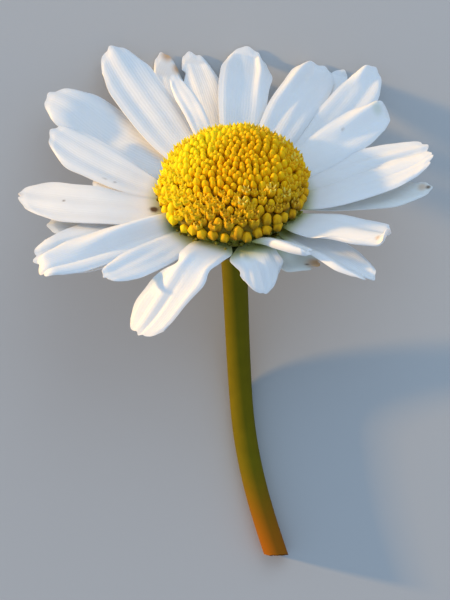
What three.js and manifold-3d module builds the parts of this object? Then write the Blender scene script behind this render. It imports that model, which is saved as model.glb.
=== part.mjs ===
// A marguerite daisy: one cut flower that lies on a flat surface.
// Its head leans back on the tips of a few rays, and its stem bows down to the surface.
// Millimetres and degrees, +Z up, the surface at z = 0, the origin under the middle of the flower's box.
import * as THREE from "three";
import { mergeVertices } from "three/addons/utils/BufferGeometryUtils.js";
import Module from "manifold-3d";

const wasm = await Module();
wasm.setup();

// The head's place: the middle of the ring that the rays grow from
const headCentre = new THREE.Vector3(0.8, 10.85, 15.6);
const headTilt = 44.5; // from facing straight up to facing back
const headLean = 4; // turned to the left

// Rays
const rayRootRadius = 6.65;
const rayThickness = 0.62;
const rayColumns = 6;
const rayRows = 9;
const rayRowSpread = 1.3; // over 1, the rows stand closer together near the tip
const rayClaw = 0.3; // share of the full width at the root
const raySwellPower = 2.4; // over 1, a ray widens fast just past its root
const rayTaperStart = 0.72;
const rayTipRoundPower = 2.2;
const rayNotchDepth = 0.03; // share of the length that a notch of 1 stands back
const rayTipPower = 4; // how late along the ray the tip's outline sets in
const rayPleat = 0.05; // height of the lengthwise ridges
const rayPleatStart = 0.1;
const rayPleatFull = 0.5;
const rayCupLevel = 0.4; // between its middle and its edges a cupped ray keeps its height here
const rayCupHeld = 0.8; // past it the cup stays as it is
const rayCurlStart = 0.8;

// Disc of florets
const coreRadius = 6.3;
const coreBottom = -1.0;
const coreSides = 20;
const coreNeck = 0.75; // how far below the dome's rim the core is at its narrow radius
const coreFirstAngle = 100; // of the dome's profile, down from the axis
const coreAngleStep = 20;
const domeRimHeight = 1.75;
const domeRadius = 7.6;
const domeHeight = 4.1;
const floretCount = 150;
const floretLastAngle = 89; // how far round the dome the outermost florets stand
const goldenAngle = 137.508;
const budShare = 0.22; // inner part of the disc that is still in bud
const rimShare = 0.87; // past it the florets are the round ones of the rim
const floretSides = 5;
const floretProud = 0.1; // how far a floret's middle stands over the dome
const bud = { tipRadius: 0.36, footRadius: 0.74, height: 1.4 };
const openFloret = { tipRadius: 0.66, footRadius: 0.42, height: 1.5 };
const rimFloret = { radius: 0.74, stretch: 1.15 };

// Green cup of bracts under the head
const cupTop = -1.4;
const cupRadius = 6.9;
const cupBottom = -5.0;
const cupSides = 26;
const cupRoundness = 0.8; // under 1, the cup is fuller near the stem
const cupShares = [0.15, 0.35, 0.6, 0.85]; // heights of its profile's points
const bractRows = 3;
const bractsInRow = 13;
const bractFirstShare = 0.28; // height of the lowest row, as a share of the cup
const bractRowShare = 0.2;
const bractSlopeShare = 0.12; // a bract lies along the slope that the cup has over this share
const bract = { length: 1.5, width: 0.7, widthStep: 0.22, thickness: 0.4 };

// Stem
const stemTopRadius = 1.45;
const stemRadius = 1.32;
const stemSides = 10;
const stemSteps = 30;
const stemTop = -5.3; // along the head's axis
const stemBend = -9; // where it begins to bow
const stemThinShare = 0.4; // share of its length where it reaches its own radius
const stemTouch = new THREE.Vector2(1.9, -12); // where it comes down to the surface
const stemTouchHeading = new THREE.Vector2(0.08, -1);
const stemEnd = new THREE.Vector2(5.8, -29);
const stemEndHeading = new THREE.Vector2(0.343, -1);
const stemHandle = 6; // how far the bow and the lying part run straight at their ends
const stemCutY = -29.2;

const degrees = Math.PI / 180;
const headTurn = new THREE.Euler(-headTilt * degrees, 0, headLean * degrees, "ZYX");

// Each ray, counter-clockwise from the left: where it leaves the ring and where its tip points
// (angles counter-clockwise from the right), how far its tip reaches from the axis and its width.
// A value left out is the one of the plain ray. Roots below zero are those of the back layer.
const plainRay = {
  sway: 0, // how far the middle of its length bends aside
  peak: 0.65, // share of the length where the full width is reached
  taper: 0.2, // share of the width that is gone at the tip
  round: 0.13, // share of the length that the corners of the tip stand back
  root: 0.3, // height of the root
  tip: 0, // height of the tip
  arch: 0,
  roll: 0, // at the root, the left edge up, seen from the disc
  tipRoll: 0,
  cup: 0, // rise of the edges
  notch: 0.3, // depth of the notches in the tip
  curl: 0, // rise of the tip's end
};
const rays = [
  { from: 190, to: 175.3, reach: 23.4, width: 6.1, peak: 0.85, tip: 1.2, arch: 0.7,
    tipRoll: 4, cup: 0.2, notch: 1 },
  { from: 188.5, to: 186.2, reach: 20.3, width: 3.4, root: -0.6, tip: 0.2, arch: -0.9, tipRoll: -6 },
  { from: 206, to: 199.8, reach: 23.2, width: 4.4, root: -0.6, tip: 0.3,
    arch: 0, roll: -12, tipRoll: -14, curl: -0.4 },
  { from: 209, to: 205, reach: 22.7, width: 4, tip: 1.4, arch: 0.4,
    roll: -14, tipRoll: -14, cup: 0.1, notch: 0.8, curl: -0.5 },
  { from: 228, to: 221, reach: 18.6, width: 3.8, tip: 1.7, arch: 0.3,
    roll: -14, tipRoll: -10, notch: 0.4 },
  { from: 255, to: 234.8, sway: 1.5, reach: 18.4, width: 4.8, taper: 0.28, tip: -4.6, arch: 2.2,
    roll: -10, tipRoll: 12, cup: -0.2, notch: 0.4 },
  { from: 283, to: 283.5, reach: 11.8, width: 4.7, taper: 0.1, round: 0.17, root: -0.4, tip: -3, arch: 0.6,
    cup: 0.2, notch: 0.5 },
  { from: 292, to: 308, reach: 12.5, width: 2.8, tip: 1.9,
    arch: 1, roll: -6, tipRoll: -45, cup: -0.2, notch: 0.1 },
  { from: 300.5, to: 316, reach: 12.1, width: 3.2, root: -0.75, tip: -2.4, arch: -0.6, notch: 0.2 },
  { from: 319.5, to: 317.5, reach: 19.2, width: 3.7, root: -0.6, tip: -0.4,
    arch: 0.5, roll: -4, tipRoll: -6, cup: 0.1, notch: 0.4 },
  { from: 327, to: 332.3, reach: 18.3, width: 4.3, tip: 1.6, arch: 0.8,
    roll: -10, tipRoll: -10, cup: -0.2, notch: 0.2, curl: 0.3 },
  { from: 356, to: 360, reach: 21.7, width: 3.4, root: -0.6, tip: -0.5, arch: -0.3, cup: 0.1 },
  { from: 350, to: 366.6, reach: 22.05, width: 4.1, tip: 1.6, arch: 0.8, cup: -0.2, notch: 0.2 },
  { from: 14, to: 14.4, reach: 22.6, width: 4.4, root: -0.6, tip: 0.8, arch: 0.2 },
  { from: 28, to: 33.2, reach: 21.5, width: 4.5, tip: 2, arch: 0.6, cup: 0.2, notch: 0.2, curl: 0.5 },
  { from: 41, to: 50.2, reach: 25.7, width: 4.4, root: -0.5, tip: 1.1, arch: 0.2,
    tipRoll: -4, cup: 0.1 },
  { from: 55.8, to: 56.8, reach: 25.5, width: 2.6, root: -0.75, tip: -1.1, arch: -1.4, notch: 0.2 },
  { from: 59.8, to: 62.8, reach: 25.2, width: 5.3, tip: -0.6, arch: 1, roll: -5, tipRoll: -8 },
  { from: 81.6, to: 83.2, reach: 24.6, width: 5.8, root: 0.42, tip: 0.9, arch: 1.9, notch: 0.4 },
  { from: 95.2, to: 98.6, reach: 24.8, width: 4.4, root: -0.65, tip: 1, arch: 0.6 },
  { from: 104.2, to: 107.8, reach: 18.7, width: 2.3, root: 0.4, tip: 3.4,
    arch: 1.1, cup: 0.1, notch: 0.1 },
  { from: 110.8, to: 106.2, reach: 25.5, width: 3, root: -0.76, tip: 0.7, arch: -1.4 },
  { from: 122, to: 118.6, reach: 26.6, width: 6.2, tip: 3.4, arch: 0.4, roll: 4, tipRoll: 4, cup: 0.1 },
  { from: 135, to: 138.7, reach: 26.4, width: 6, root: -0.6, tip: 2.4, arch: -0.2, cup: 0.1 },
  { from: 160, to: 151.5, reach: 22.4, width: 5.6, tip: 2.6, arch: 0.5, cup: 0.1, notch: 0.4 },
  { from: 172, to: 169, reach: 15, width: 3.2, root: -0.6, tip: 0, arch: -0.5, notch: 0.2 },
];

const materials = {
  ray: new THREE.MeshStandardMaterial({ color: 0xf4f3ee, roughness: 0.6, metalness: 0 }),
  floret: new THREE.MeshStandardMaterial({ color: 0xe8b010, roughness: 0.7, metalness: 0 }),
  cup: new THREE.MeshStandardMaterial({ color: 0x6a7434, roughness: 0.75, metalness: 0 }),
  stem: new THREE.MeshStandardMaterial({ color: 0x6f6a1e, roughness: 0.65, metalness: 0 }),
};

function smooth(from, to, x) {
  const t = THREE.MathUtils.clamp((x - from) / (to - from), 0, 1);
  return t * t * (3 - 2 * t);
}

// Lifts a point of the head's own frame until it is at least this high over the surface.
function liftOver(point, height) {
  const up = new THREE.Vector3(0, -Math.sin(headTilt * degrees), Math.cos(headTilt * degrees));
  const z = headCentre.z + point.dot(up);
  if (z < height) point.addScaledVector(up, height - z);
  return point;
}

// A point of a ray's middle surface: along from 0 at the root to 1 at the tip, across from -1 to 1.
function rayPoint(ray, along, across) {
  const narrow = (1 - Math.min(along / ray.peak, 1)) ** raySwellPower;
  const swell = 1 - (1 - rayClaw) * narrow;
  const taper = 1 - ray.taper * smooth(rayTaperStart, 1, along);
  const halfWidth = (ray.width / 2) * swell * taper;
  const side = halfWidth * across;
  const ridge = Math.cos(3 * Math.PI * across);
  const rounded = ray.round * Math.abs(across) ** rayTipRoundPower;
  const notched = rayNotchDepth * ray.notch * (1 - ridge);
  const share = along - (rounded + notched) * along ** rayTipPower;
  const radius = THREE.MathUtils.lerp(rayRootRadius, ray.reach, share);
  const bend = ray.sway * Math.sin(Math.PI * share);
  const azimuth = (THREE.MathUtils.lerp(ray.from, ray.to, share) + bend) * degrees;
  const roll = THREE.MathUtils.lerp(ray.roll, ray.tipRoll, share) * degrees;
  const height =
    THREE.MathUtils.lerp(ray.root, ray.tip, share ** 2) +
    ray.arch * Math.sin(Math.PI * share) ** 2 +
    side * Math.sin(roll) +
    ray.cup * (across ** 2 - rayCupLevel) * Math.sin(Math.PI * Math.min(share, rayCupHeld)) +
    rayPleat * ridge * smooth(rayPleatStart, rayPleatFull, share) +
    ray.curl * smooth(rayCurlStart, 1, share);
  const outward = new THREE.Vector3(Math.cos(azimuth), Math.sin(azimuth), 0);
  const sideways = new THREE.Vector3(-Math.sin(azimuth), Math.cos(azimuth), 0);
  const point = outward.multiplyScalar(radius).addScaledVector(sideways, side * Math.cos(roll));
  point.z = height;
  return point;
}

// A closed blade: the same grid of triangles on both faces, with a rim between them.
function bladeGeometry(surface, columns, rows, thickness) {
  const grid = new THREE.PlaneGeometry(2, 1, columns, rows);
  const gridPoints = grid.attributes.position;
  const count = gridPoints.count;
  const step = 0.01; // for the slopes that give the blade's normal
  const points = [];
  for (const face of [1, -1]) {
    for (let i = 0; i < count; i++) {
      const across = gridPoints.getX(i);
      const along = 1 - (0.5 + gridPoints.getY(i)) ** rayRowSpread;
      const middle = surface(along, across);
      const alongStep = surface(along + step, across).sub(surface(along - step, across));
      const acrossStep = surface(along, across + step).sub(surface(along, across - step));
      const normal = alongStep.cross(acrossStep).normalize();
      const point = middle.addScaledVector(normal, (face * thickness) / 2);
      points.push(...liftOver(point, face > 0 ? thickness : 0).toArray());
    }
  }
  const upper = [...grid.index.array];
  const index = [];
  for (let i = 0; i < upper.length; i += 3) {
    const [a, b, c] = upper.slice(i, i + 3);
    index.push(a, b, c, a + count, c + count, b + count);
  }
  const rim = [];
  for (let i = 0; i < columns; i++) rim.push(i);
  for (let j = 0; j < rows; j++) rim.push(columns + j * (columns + 1));
  for (let i = columns; i > 0; i--) rim.push(rows * (columns + 1) + i);
  for (let j = rows; j > 0; j--) rim.push(j * (columns + 1));
  rim.forEach((a, i) => {
    const b = rim[(i + 1) % rim.length];
    index.push(a, b, b + count, a, b + count, a + count);
  });
  const geometry = new THREE.BufferGeometry();
  geometry.setAttribute("position", new THREE.Float32BufferAttribute(points, 3));
  geometry.setIndex(index);
  geometry.computeVertexNormals();
  return geometry;
}

function solidOf(geometry) {
  const bare = geometry.clone();
  bare.deleteAttribute("normal");
  bare.deleteAttribute("uv");
  const merged = mergeVertices(bare, 1e-4);
  const mesh = new wasm.Mesh({
    numProp: 3,
    vertProperties: merged.attributes.position.array,
    triVerts: new Uint32Array(merged.index.array),
  });
  return new wasm.Manifold(mesh);
}

function geometryOf(solid) {
  const mesh = solid.getMesh();
  const geometry = new THREE.BufferGeometry();
  geometry.setAttribute("position", new THREE.BufferAttribute(mesh.vertProperties, 3));
  geometry.setIndex(new THREE.BufferAttribute(mesh.triVerts, 1));
  geometry.computeVertexNormals();
  return geometry;
}

function fused(geometries) {
  return geometryOf(wasm.Manifold.union(geometries.map(solidOf)));
}

// A solid of revolution about the head's axis, from a profile of [radius, height] pairs.
function turned(profile, sides) {
  const points = profile.map(([radius, height]) => new THREE.Vector2(radius, height));
  return new THREE.LatheGeometry(points, sides).rotateX(Math.PI / 2);
}

// One floret: a closed bud near the middle, an open cup further out, a round bud at the rim.
function floretGeometry(share) {
  if (share > rimShare) {
    return new THREE.IcosahedronGeometry(rimFloret.radius).scale(1, rimFloret.stretch, 1);
  }
  const { tipRadius, footRadius, height } = share < budShare ? bud : openFloret;
  return new THREE.CylinderGeometry(tipRadius, footRadius, height, floretSides);
}

function discGeometry() {
  const neck = domeRimHeight - coreNeck;
  const profile = [[0, coreBottom], [coreRadius, coreBottom], [coreRadius, neck]];
  for (let angle = coreFirstAngle; angle > 0; angle -= coreAngleStep) {
    const a = angle * degrees;
    profile.push([domeRadius * Math.sin(a), domeRimHeight + domeHeight * Math.cos(a)]);
  }
  profile.push([0, domeRimHeight + domeHeight]);
  const pieces = [turned(profile, coreSides)];
  const up = new THREE.Vector3(0, 1, 0);
  for (let i = 0; i < floretCount; i++) {
    const share = (i + 0.5) / floretCount;
    const down = Math.acos(1 - share * (1 - Math.cos(floretLastAngle * degrees)));
    const azimuth = i * goldenAngle * degrees;
    const outward = new THREE.Vector3(Math.cos(azimuth), Math.sin(azimuth), 0);
    const place = outward.clone().multiplyScalar(domeRadius * Math.sin(down));
    place.z = domeRimHeight + domeHeight * Math.cos(down);
    const lean = outward.clone().multiplyScalar(Math.sin(down) / domeRadius);
    lean.z = Math.max(Math.cos(down), 0) / domeHeight;
    const turn = new THREE.Quaternion().setFromUnitVectors(up, lean.normalize());
    const floret = floretGeometry(share).translate(0, floretProud, 0);
    pieces.push(floret.applyQuaternion(turn).translate(...place.toArray()));
  }
  return fused(pieces);
}

// Radius of the cup's outside at a share of its height, 0 at the stem and 1 at the top.
function cupOutside(share) {
  const bulge = Math.sin((share * Math.PI) / 2) ** cupRoundness;
  return THREE.MathUtils.lerp(stemTopRadius, cupRadius, bulge);
}

function cupGeometry() {
  const profile = [[0, cupBottom], [stemTopRadius, cupBottom]];
  for (const share of cupShares) {
    profile.push([cupOutside(share), THREE.MathUtils.lerp(cupBottom, cupTop, share)]);
  }
  profile.push([cupRadius, cupTop], [0, cupTop]);
  const pieces = [turned(profile, cupSides)];
  for (let row = 0; row < bractRows; row++) {
    const share = bractFirstShare + bractRowShare * row;
    const radius = cupOutside(share);
    const height = THREE.MathUtils.lerp(cupBottom, cupTop, share);
    const rise = bractSlopeShare * (cupTop - cupBottom);
    const slope = Math.atan2(rise, cupOutside(share + bractSlopeShare) - radius);
    for (let i = 0; i < bractsInRow; i++) {
      const scale = new THREE.OctahedronGeometry(1);
      scale.scale(bract.length, bract.width + bract.widthStep * row, bract.thickness);
      scale.rotateY(-slope).translate(radius, 0, height);
      scale.rotateZ(((i + row / 2) * 2 * Math.PI) / bractsInRow);
      pieces.push(scale);
    }
  }
  return fused(pieces);
}

// A Bezier curve that sets off along one heading and comes in along another.
function bow(start, startHeading, end, endHeading) {
  const leaving = start.clone().addScaledVector(startHeading, stemHandle);
  const arriving = end.clone().addScaledVector(endHeading, -stemHandle);
  return new THREE.CubicBezierCurve3(start, leaving, arriving, end);
}

// The stem's middle line: straight out of the head, bowed down to the surface, then along it.
function stemLine() {
  const down = new THREE.Vector3(0, 0, -1).applyEuler(headTurn);
  const start = headCentre.clone().addScaledVector(down, -stemTop);
  const bend = headCentre.clone().addScaledVector(down, -stemBend);
  const lying = stemRadius * Math.cos(Math.PI / stemSides);
  const touch = new THREE.Vector3(stemTouch.x, stemTouch.y, lying);
  const end = new THREE.Vector3(stemEnd.x, stemEnd.y, lying);
  const touchHeading = new THREE.Vector3(stemTouchHeading.x, stemTouchHeading.y, 0);
  const endHeading = new THREE.Vector3(stemEndHeading.x, stemEndHeading.y, 0);
  const line = new THREE.CurvePath();
  line.add(new THREE.LineCurve3(start, bend));
  line.add(bow(bend, down, touch, touchHeading));
  line.add(bow(touch, touchHeading, end, endHeading));
  return line;
}

function stemGeometry() {
  const line = stemLine();
  const geometry = new THREE.CylinderGeometry(1, 1, 1, stemSides, stemSteps);
  const place = geometry.attributes.position;
  const up = new THREE.Vector3(0, 0, 1);
  for (let i = 0; i < place.count; i++) {
    const along = 0.5 - place.getY(i);
    const middle = line.getPointAt(along);
    const forward = line.getTangentAt(along).normalize();
    const right = forward.clone().cross(up).normalize();
    const above = right.clone().cross(forward);
    const hub = Math.hypot(place.getX(i), place.getZ(i));
    const angle = Math.atan2(-place.getZ(i), place.getX(i)) + Math.PI / stemSides;
    const thinning = smooth(0, stemThinShare, along);
    const radius = THREE.MathUtils.lerp(stemTopRadius, stemRadius, thinning) * hub;
    const point = middle
      .addScaledVector(right, radius * Math.cos(angle))
      .addScaledVector(above, radius * Math.sin(angle));
    const atCut = along === 1;
    if (atCut) point.addScaledVector(forward, (stemCutY - point.y) / forward.y);
    place.setXYZ(i, ...point.toArray());
  }
  geometry.computeVertexNormals();
  return geometry;
}

const flower = new THREE.Group();
const head = new THREE.Group();
head.position.copy(headCentre);
head.rotation.copy(headTurn);
flower.add(head);

function addPiece(group, name, geometry, material) {
  const mesh = new THREE.Mesh(geometry, material);
  mesh.name = name;
  group.add(mesh);
}

rays.forEach((values, i) => {
  const ray = { ...plainRay, ...values };
  const surface = (along, across) => rayPoint(ray, along, across);
  const geometry = bladeGeometry(surface, rayColumns, rayRows, rayThickness);
  addPiece(head, `ray_petal_${String(i + 1).padStart(2, "0")}`, geometry, materials.ray);
});
addPiece(head, "disc_florets", discGeometry(), materials.floret);
addPiece(head, "involucre", cupGeometry(), materials.cup);
addPiece(flower, "stem", stemGeometry(), materials.stem);

export default flower;
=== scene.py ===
import math
import random

import bpy
from mathutils import Euler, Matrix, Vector, noise


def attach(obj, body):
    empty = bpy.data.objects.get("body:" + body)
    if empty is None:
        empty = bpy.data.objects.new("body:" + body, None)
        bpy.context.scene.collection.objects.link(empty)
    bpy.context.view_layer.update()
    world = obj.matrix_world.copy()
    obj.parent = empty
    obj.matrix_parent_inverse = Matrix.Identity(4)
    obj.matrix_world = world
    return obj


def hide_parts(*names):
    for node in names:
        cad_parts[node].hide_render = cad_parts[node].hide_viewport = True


# A cut marguerite daisy, lying with its head leant back on the tips of its top petals.
# Lengths are in millimetres until a mesh is stored, which is in metres. Angles are in degrees.

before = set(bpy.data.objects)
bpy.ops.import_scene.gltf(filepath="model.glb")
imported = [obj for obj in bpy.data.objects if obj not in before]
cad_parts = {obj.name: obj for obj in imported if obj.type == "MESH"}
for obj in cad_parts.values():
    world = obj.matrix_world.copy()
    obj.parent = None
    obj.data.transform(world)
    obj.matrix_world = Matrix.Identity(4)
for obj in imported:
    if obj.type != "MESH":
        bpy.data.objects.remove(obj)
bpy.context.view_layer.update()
mm = 0.001
random.seed(11)
print("frame loaded")

head = {
    "centre": Vector((0.8, 10.85, 15.6)),  # middle of the ring that the petals grow from
    "tilt": 44.5,  # from facing straight up to facing back
    "lean": 4,  # turned to the left
}
headTurn = Euler((math.radians(-head["tilt"]), 0, math.radians(head["lean"])), "XYZ").to_matrix()


def smooth(start, end, x):
    t = min(max((x - start) / (end - start), 0), 1)
    return t * t * (3 - 2 * t)


def mix(a, b, t):
    return a + (b - a) * t


def hill(x, middle, reach):
    return math.exp(-(((x - middle) / reach) ** 2))


def outwardAt(azimuth):
    return Vector((math.cos(azimuth), math.sin(azimuth), 0))


def sidewaysAt(azimuth):
    return Vector((-math.sin(azimuth), math.cos(azimuth), 0))


def toWorld(point):
    # from the head's own frame, with the disc facing +Z
    return headTurn @ point + head["centre"]


def deselect():
    if bpy.context.object and bpy.context.object.mode != "OBJECT":
        bpy.ops.object.mode_set(mode="OBJECT")
    bpy.ops.object.select_all(action="DESELECT")


def pick(piece):
    deselect()
    piece.select_set(True)
    bpy.context.view_layer.objects.active = piece


def selectVertices(piece, test):
    pick(piece)
    bpy.ops.object.mode_set(mode="EDIT")
    bpy.ops.mesh.select_mode(type="VERT")
    bpy.ops.mesh.select_all(action="DESELECT")
    bpy.ops.object.mode_set(mode="OBJECT")
    for vertex in piece.data.vertices:
        vertex.select = test(vertex.co)
    bpy.ops.object.mode_set(mode="EDIT")


def applyAll(piece):
    pick(piece)
    for modifier in list(piece.modifiers):
        bpy.ops.object.modifier_apply(modifier=modifier.name)


def thicken(piece, thickness, offset):
    made = piece.modifiers.new("thickness", "SOLIDIFY")
    made.thickness = thickness * mm
    made.offset = offset
    return made


def makeGrid(columns, rows):
    deselect()
    bpy.ops.mesh.primitive_grid_add(x_subdivisions=columns, y_subdivisions=rows, size=2)
    return bpy.context.object


def editAll():
    bpy.ops.object.mode_set(mode="EDIT")
    bpy.ops.mesh.select_all(action="SELECT")


def extrude(rise, grow):
    bpy.ops.mesh.extrude_region_move(TRANSFORM_OT_translate={"value": (0, 0, rise)})
    bpy.ops.transform.resize(value=(grow, grow, 1))


def smoothShade(piece, angle):
    pick(piece)
    bpy.ops.object.shade_smooth_by_angle(angle=math.radians(angle))


def joinTo(piece, others):
    pick(piece)
    for other in others:
        other.select_set(True)
    bpy.ops.object.join()


def widened(co, factor):
    co.x *= factor
    co.y *= factor


def setOnHead(piece, place, turns, size=1):
    # a small upright part, turned and put on the head
    for vertex in piece.data.vertices:
        local = vertex.co.copy()
        for turn in turns:
            local.rotate(turn)
        vertex.co = toWorld(place + local * size) * mm


def setFloats(piece, attributes):
    # each is a list with one value for each vertex, or one value for all
    count = len(piece.data.vertices)
    for name, values in attributes.items():
        made = piece.data.attributes.get(name) or piece.data.attributes.new(name, "FLOAT", "POINT")
        made.data.foreach_set("value", values if isinstance(values, list) else [values] * count)


def settle(piece, name, nodes, material):
    piece.name = name
    piece.data.name = name
    piece.data.materials.clear()
    piece.data.materials.append(material)
    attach(piece, "root")
    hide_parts(*nodes)


# Shader sums are written as expressions on wires
class Wire:
    def __init__(self, finish, socket):
        self.finish = finish
        self.socket = socket

    def __add__(self, other):
        return self.finish.math("ADD", self, other)

    def __radd__(self, other):
        return self.finish.math("ADD", other, self)

    def __sub__(self, other):
        return self.finish.math("SUBTRACT", self, other)

    def __rsub__(self, other):
        return self.finish.math("SUBTRACT", other, self)

    def __mul__(self, other):
        return self.finish.math("MULTIPLY", self, other)

    def __rmul__(self, other):
        return self.finish.math("MULTIPLY", other, self)


class Finish:
    def __init__(self, name):
        self.material = bpy.data.materials.new(name)
        self.material.use_nodes = True
        self.tree = self.material.node_tree
        self.tree.nodes.clear()

    def node(self, kind, settings, inputs):
        made = self.tree.nodes.new(kind)
        for key, value in settings.items():
            setattr(made, key, value)
        for key, value in inputs.items():
            if isinstance(value, Wire):
                self.tree.links.new(value.socket, made.inputs[key])
            else:
                made.inputs[key].default_value = value
        return made

    def wire(self, node, output=0):
        return Wire(self, node.outputs[output])

    def math(self, operation, *values):
        settings = {"operation": operation}
        return self.wire(self.node("ShaderNodeMath", settings, dict(enumerate(values))))

    def clamp(self, low, high, value):
        settings = {"interpolation_type": "SMOOTHSTEP"}
        inputs = {"Value": value, "From Min": low, "From Max": high}
        return self.wire(self.node("ShaderNodeMapRange", settings, inputs))

    def mixed(self, factor, a, b):
        settings = {"data_type": "RGBA", "clamp_factor": True}
        first = a if isinstance(a, Wire) else (*a, 1)
        second = b if isinstance(b, Wire) else (*b, 1)
        inputs = {0: factor, 6: first, 7: second}  # the colour sockets are the seventh and eighth
        return self.wire(self.node("ShaderNodeMix", settings, inputs), 2)

    def attribute(self, name):
        return self.wire(self.node("ShaderNodeAttribute", {"attribute_name": name}, {}), "Fac")

    def coordinates(self, kind):
        return self.wire(self.node("ShaderNodeTexCoord", {}, {}), kind)

    def along(self, kind, axis):
        place = self.node("ShaderNodeSeparateXYZ", {}, {"Vector": self.coordinates(kind)})
        return self.wire(place, axis)

    def noise(self, scale, detail):
        inputs = {"Vector": self.coordinates("Object"), "Scale": scale, "Detail": detail}
        return self.wire(self.node("ShaderNodeTexNoise", {}, inputs))

    def bump(self, height, distance, strength):
        inputs = {"Height": height, "Distance": distance, "Strength": strength}
        return self.wire(self.node("ShaderNodeBump", {}, inputs))

    def surface(self, inputs):
        shader = self.wire(self.node("ShaderNodeBsdfPrincipled", {}, inputs))
        self.node("ShaderNodeOutputMaterial", {}, {"Surface": shader})
        return self.material

    def dressed(self, look, colour, relief):
        inputs = {
            "Base Color": colour,
            "Roughness": look["roughness"],
            "Specular IOR Level": look["specular"],
            "Normal": self.bump(relief, look["bumpDistance"], look["bump"]),
        }
        if "inside" in look:
            inputs["Subsurface Weight"] = look["inside"]
            inputs["Subsurface Radius"] = look["insideSpread"]
            inputs["Subsurface Scale"] = look["depth"]
        return self.surface(inputs)


# The camera stands straight above
camera = {
    "height": 260,
    "lens": 135,
    "clipStart": 10,
}


def makeCamera():
    bpy.ops.object.camera_add(location=(0, 0, camera["height"] * mm), rotation=(0, 0, 0))
    made = bpy.context.object
    made.data.lens = camera["lens"]
    made.data.clip_start = camera["clipStart"] * mm
    bpy.context.scene.camera = made


makeCamera()
print("camera placed")


# Petals
petal = {
    "rootRadius": 6.65,
    "thickness": 0.3,
    "edgeThickness": 0.35,  # share of the thickness that is left at the margins
    "marginFrom": 0.75,  # across, where the margins begin to thin
    "tipFrom": 0.94,  # along, where the tip begins to thin
    "grid": (36, 64),
    "rowSpread": 1.2,  # over 1, rows are closer near the tip
    "smoothAngle": 80,
    "claw": 0.5,  # share of the full width at the root
    "swellPower": 2.8,
    "taperStart": 0.72, "tipRoundPower": 2.2, "notchDepth": 0.02, "tipPower": 4,
    "nickPower": 12,  # how close to the tip a nick stays
    "ridges": 3,  # lengthwise, with two furrows between them
    "pleat": 0.016,
    "furrow": 0.014,
    "furrowWidth": 0.13,
    "plainWidth": 5,  # of a petal whose ridges are as high as "pleat"
    "reliefRange": (0.1, 0.5),  # along, where ridges and unevenness begin and are full
    "wave": 0.12,  # soft unevenness all over
    "waveAlong": 3.5, "waveAcross": 1.3, "seedStep": 7.3,
    "cupLevel": 0.4, "cupHeld": 0.8, "curlStart": 0.8, "cadThickness": 0.62,
    "markCore": 0.2,  # share of a mark's radius that has its full strength
    "footRange": (0.8, 3.0),  # from the root, where its green and its painted shade are full and where they end
    "look": {
        "whites": ((0.82, 0.81, 0.80), (0.88, 0.875, 0.86)),
        # the foot: the claw's own green, darkened with painted shade of the disc's rim
        "foot": (0.36, 0.38, 0.07),
        # grey-green, partly the green of a turned-up underside and partly painted shade
        "oliveAndShade": (0.50, 0.56, 0.42),
        "oliveAndShadeShare": 0.6,
        # spot colour: the petals' brown spots, and painted shade where two petals meet the disc
        "rust": (0.55, 0.26, 0.06), "spot": (0.12, 0.07, 0.03),
        "blotchScale": 350,
        "veins": 110,  # radians of their wave across a petal's map
        "veinWander": 6,
        "grainScale": 6000, "bumpDistance": 0.000025, "bump": 0.3,
        "roughness": 0.5, "specular": 0.3,
        "inside": 0.35,  # share of the light that spreads inside
        "insideSpread": (1.0, 0.9, 0.75), "depth": 0.0008,
    },
}

# Each petal, counter-clockwise from the left. "Across" runs from its clockwise margin, -1, to the other, 1,
# and "along" from its root, 0, to its tip, 1.
# from, to: azimuth of its root and of its tip; reach: its tip from the head's axis
# root, tip: height of each; arch: how far the middle rises; sway: how far it swings round
# peak: where it is widest; taper: width lost at the tip; round: how far the tip's corners fall short
# cup: lift of the margins; curl: lift of the tip; notch: depth of the notches; oliveAndShade: grey-green
# tint all over, partly an underside's green and partly painted shade
# roll, tipRoll: turn about its length, with the counter-clockwise margin up
# hills: place along, place across, reach along, reach across, height
# bulges of a margin: place along, side, reach along, size
# nicks in the tip: place across, reach across, depth, which is below zero where the tip stands out
# fold of a margin over the petal: side, crease, turn, where it begins and is full
# tipBend: where along the petal it begins, turn
# marks: kind, place along, place across, radius, strength, which is over 1 for a firm edge
plainPetal = {
    "sway": 0, "peak": 0.65, "taper": 0.2, "round": 0.13, "root": 0.3, "tip": 0, "arch": 0,
    "roll": 0, "tipRoll": 0, "cup": 0, "notch": 0.3, "curl": 0, "oliveAndShade": 0,
    "hills": [], "bulges": [], "nicks": [], "fold": None, "tipBend": None, "marks": [], "thick": 1,
}
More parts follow.
